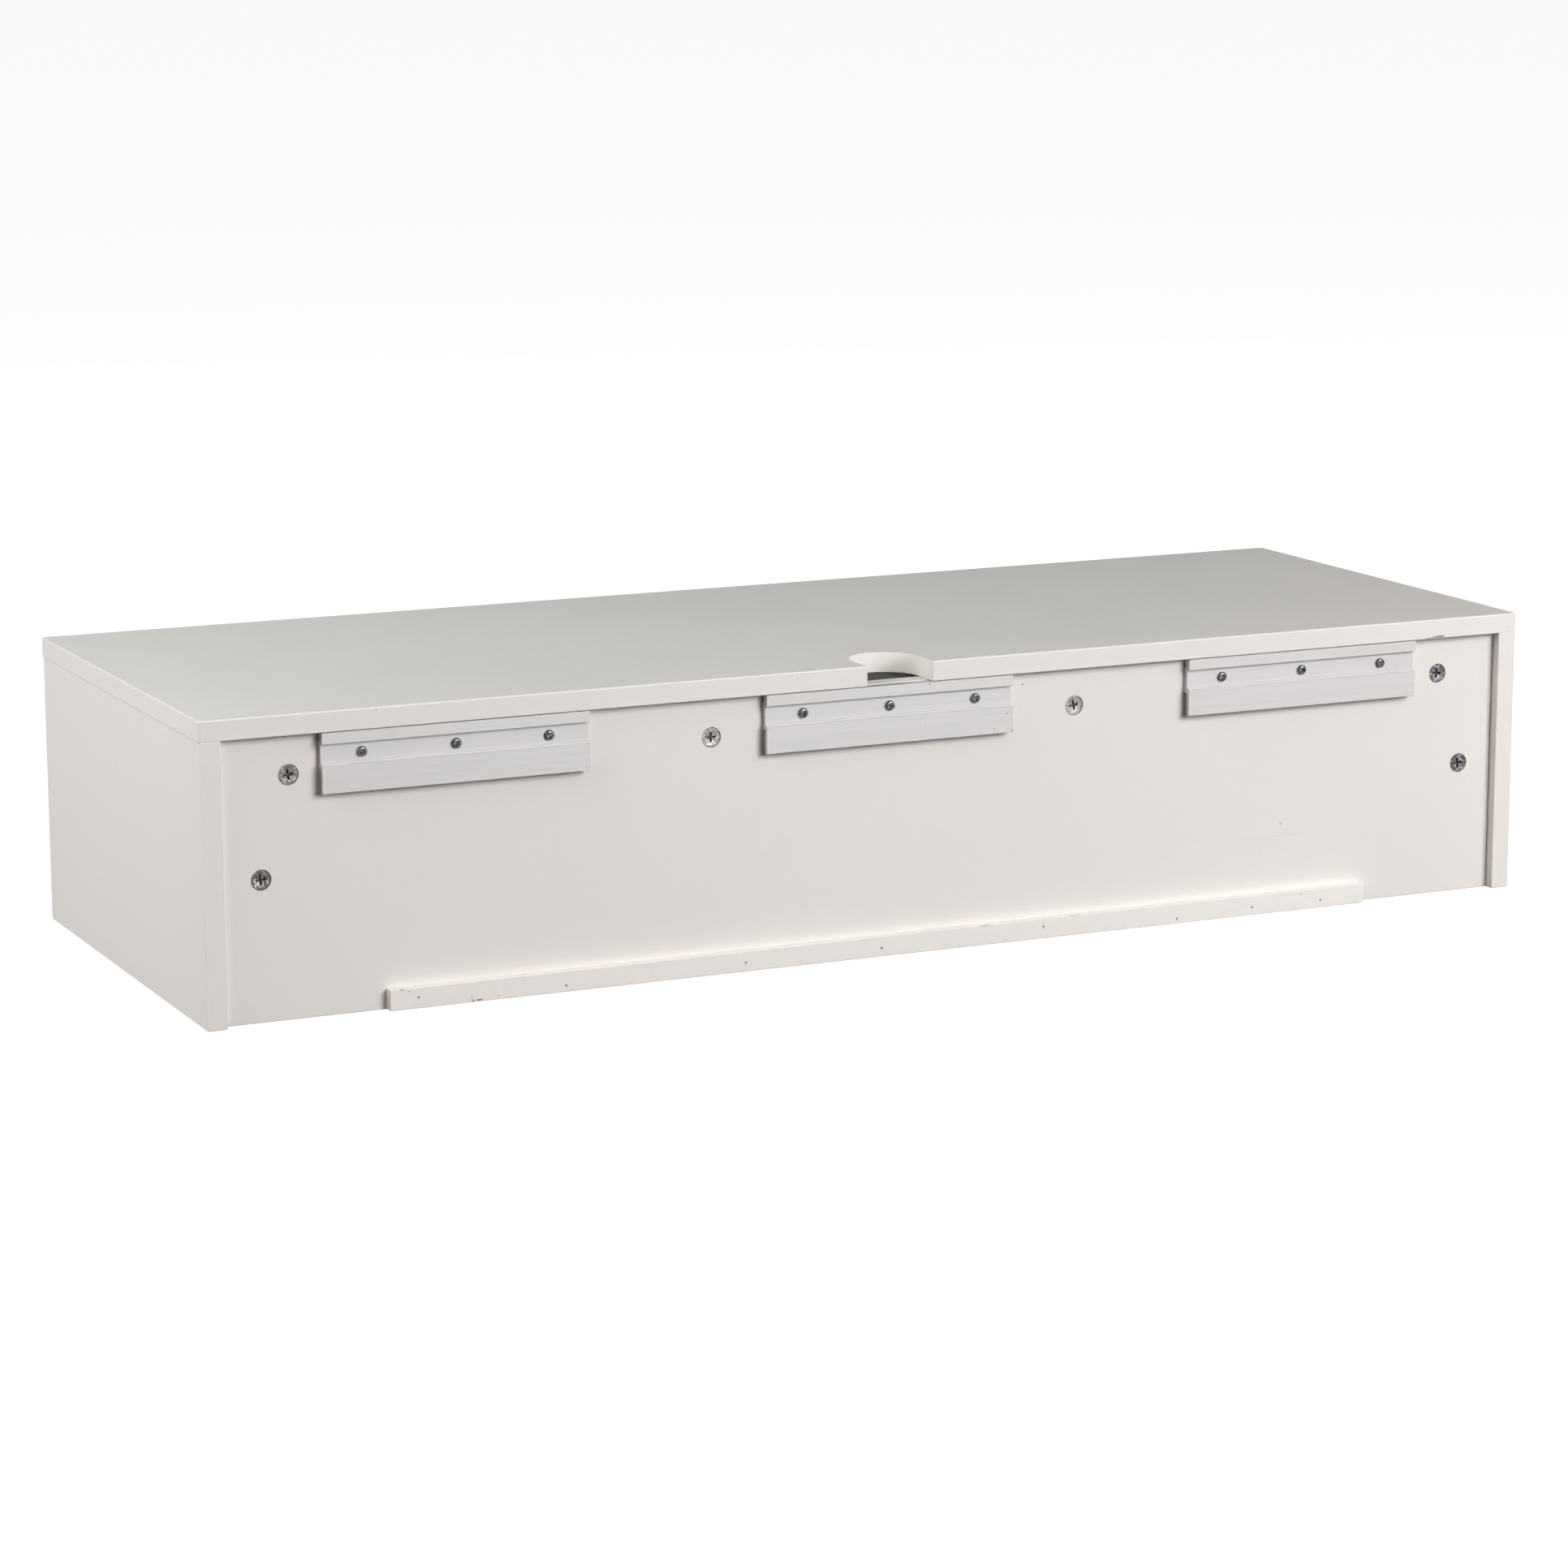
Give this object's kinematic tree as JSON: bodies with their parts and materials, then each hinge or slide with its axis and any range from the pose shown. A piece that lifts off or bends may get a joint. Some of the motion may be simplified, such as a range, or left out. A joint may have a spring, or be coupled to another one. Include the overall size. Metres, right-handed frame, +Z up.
{
  "type": "under desk drawer",
  "caption": "Low, wide wall-hung drawer cabinet of white lacquered boards, with sliding drawers, a cable notch in the top and hook rails on its back.",
  "frame": {"origin": "centre of the underside of the bounding box, knobs included: X = 0 in the middle of the cabinet, Y = 0 halfway between the wall plane and the knobs' ends, Z = 0 at the underside", "axes": "+X to the right as seen from the front, -Y is the front that the drawers open towards, +Y is the wall side, +Z up"},
  "size_m": [1.0686, 0.4066, 0.218],
  "materials": {
    "white_lacquer": "satin white lacquer on fibreboard",
    "drawer_board": "white melamine",
    "drawer_bottom": "white faced hardboard",
    "rail_aluminium": "satin extruded, along its length",
    "screw_steel": "dark nickel plate",
    "bolt_steel": "bright zinc plate",
    "cam_zinc": "die-cast zinc",
    "slide_steel": "zinc plate",
    "cage_steel": "plain steel strip",
    "ball_steel": "polished",
    "knob_nickel": "turned and brushed nickel",
    "dowel_wood": "plain beech",
    "brad_steel": "dark steel"
  },
  "bodies": {
    "cabinet": {"top_panel": "white_lacquer", "left_side_panel": "white_lacquer", "right_side_panel": "white_lacquer", "back_panel": "white_lacquer", "bottom_panel": "white_lacquer", "left_divider": "white_lacquer", "right_divider": "white_lacquer", "spacer_strip": "white_lacquer", "spacer_brads": "brad_steel", "left_hanging_rail": "rail_aluminium", "middle_hanging_rail": "rail_aluminium", "right_hanging_rail": "rail_aluminium", "hanging_rail_screws": "screw_steel", "cam_locks": "cam_zinc", "cam_bolts": "bolt_steel", "wooden_dowels": "dowel_wood", "divider_screws": "bolt_steel", "outer_slide_screws": "bolt_steel", "left_drawer_outer_slides": "slide_steel", "middle_drawer_outer_slides": "slide_steel", "right_drawer_outer_slides": "slide_steel"},
    "left_drawer": {"left_drawer_front": "white_lacquer", "left_drawer_left_side": "drawer_board", "left_drawer_right_side": "drawer_board", "left_drawer_back": "drawer_board", "left_drawer_bottom": "drawer_bottom", "left_drawer_box_dowels": "dowel_wood", "left_drawer_knob": "knob_nickel", "left_drawer_knob_screw": "bolt_steel", "left_drawer_inner_slides": "slide_steel", "left_drawer_inner_slide_screws": "bolt_steel"},
    "left_cages": {"left_drawer_ball_cages": "cage_steel", "left_drawer_slide_balls": "ball_steel"},
    "middle_drawer": {"middle_drawer_front": "white_lacquer", "middle_drawer_left_side": "drawer_board", "middle_drawer_right_side": "drawer_board", "middle_drawer_back": "drawer_board", "middle_drawer_bottom": "drawer_bottom", "middle_drawer_box_dowels": "dowel_wood", "middle_drawer_knob": "knob_nickel", "middle_drawer_knob_screw": "bolt_steel", "middle_drawer_inner_slides": "slide_steel", "middle_drawer_inner_slide_screws": "bolt_steel"},
    "middle_cages": {"middle_drawer_ball_cages": "cage_steel", "middle_drawer_slide_balls": "ball_steel"},
    "right_drawer": {"right_drawer_front": "white_lacquer", "right_drawer_left_side": "drawer_board", "right_drawer_right_side": "drawer_board", "right_drawer_back": "drawer_board", "right_drawer_bottom": "drawer_bottom", "right_drawer_box_dowels": "dowel_wood", "right_drawer_knob": "knob_nickel", "right_drawer_knob_screw": "bolt_steel", "right_drawer_inner_slides": "slide_steel", "right_drawer_inner_slide_screws": "bolt_steel"},
    "right_cages": {"right_drawer_ball_cages": "cage_steel", "right_drawer_slide_balls": "ball_steel"}
  },
  "joints": [
    {"name": "left_drawer_slide", "type": "slide", "parent": "cabinet", "child": "left_drawer", "axis": [0, -1, 0], "range_m": [0, 0.22]},
    {"name": "left_cages_roll", "type": "slide", "parent": "cabinet", "child": "left_cages", "axis": [0, -1, 0], "range_m": [0, 0.11]},
    {"name": "middle_drawer_slide", "type": "slide", "parent": "cabinet", "child": "middle_drawer", "axis": [0, -1, 0], "range_m": [0, 0.22]},
    {"name": "middle_cages_roll", "type": "slide", "parent": "cabinet", "child": "middle_cages", "axis": [0, -1, 0], "range_m": [0, 0.11]},
    {"name": "right_drawer_slide", "type": "slide", "parent": "cabinet", "child": "right_drawer", "axis": [0, -1, 0], "range_m": [0, 0.22]},
    {"name": "right_cages_roll", "type": "slide", "parent": "cabinet", "child": "right_cages", "axis": [0, -1, 0], "range_m": [0, 0.11]}
  ],
  "couplings": [
    {"joint": "left_cages_roll", "follows": "left_drawer_slide", "ratio": 0.5},
    {"joint": "middle_cages_roll", "follows": "middle_drawer_slide", "ratio": 0.5},
    {"joint": "right_cages_roll", "follows": "right_drawer_slide", "ratio": 0.5}
  ]
}
